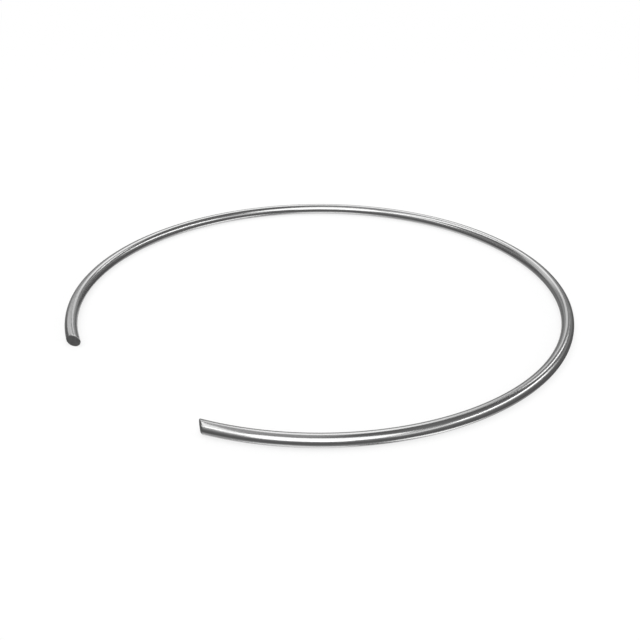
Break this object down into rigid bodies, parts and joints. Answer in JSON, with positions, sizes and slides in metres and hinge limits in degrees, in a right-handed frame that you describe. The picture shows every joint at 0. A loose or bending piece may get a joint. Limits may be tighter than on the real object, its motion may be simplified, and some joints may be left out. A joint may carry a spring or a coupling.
{
  "type": "round wire retaining ring",
  "caption": "Open retaining ring bent from round spring wire, with slanted, round-edged cut ends facing across a wide opening; it springs into a groove in a bore or on a shaft.",
  "frame": {"origin": "centre of the ring's circle, in the middle plane of the wire", "axes": "+Z along the ring's axis, -Y out through the middle of the opening, and +X to the right of a viewer who faces the opening"},
  "size_m": [0.135, 0.1292, 0.0032],
  "materials": {
    "spring_steel": "bright bare drawn spring wire, with faint die lines along it and sheared ends"
  },
  "bodies": {
    "root": {"retaining_ring": "spring_steel"}
  },
  "joints": []
}
